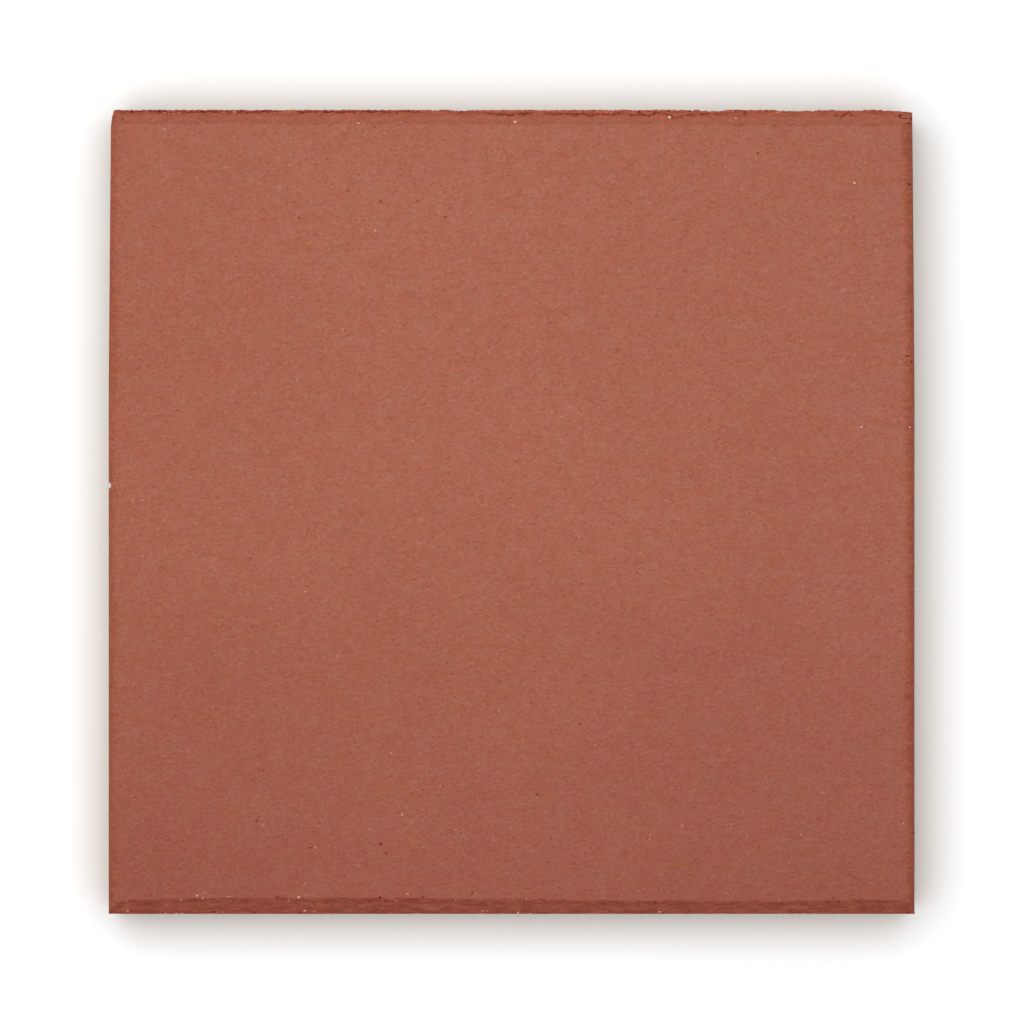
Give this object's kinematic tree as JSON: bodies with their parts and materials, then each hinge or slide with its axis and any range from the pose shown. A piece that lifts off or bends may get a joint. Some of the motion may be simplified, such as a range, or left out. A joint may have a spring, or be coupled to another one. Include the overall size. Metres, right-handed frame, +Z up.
{
  "type": "quarry tile",
  "caption": "Square red clay floor tile: flat walking face, rounded die-formed sides, bevelled cut ends and a back with dovetail keys for the bedding.",
  "frame": {"origin": "middle of the back, on the plane that the ribs of the back rest on", "axes": "+Z up through the walking face, +X across the tile to its right die-formed side, +Y along the line the clay left the die, to the cut end with the torn arris"},
  "size_m": [0.15, 0.1496, 0.0125],
  "materials": {
    "fired_clay": "unglazed red fired clay, matt, finely dragged and pitted, with pale grog specks"
  },
  "bodies": {
    "root": {"quarry_tile": "fired_clay"}
  },
  "joints": []
}
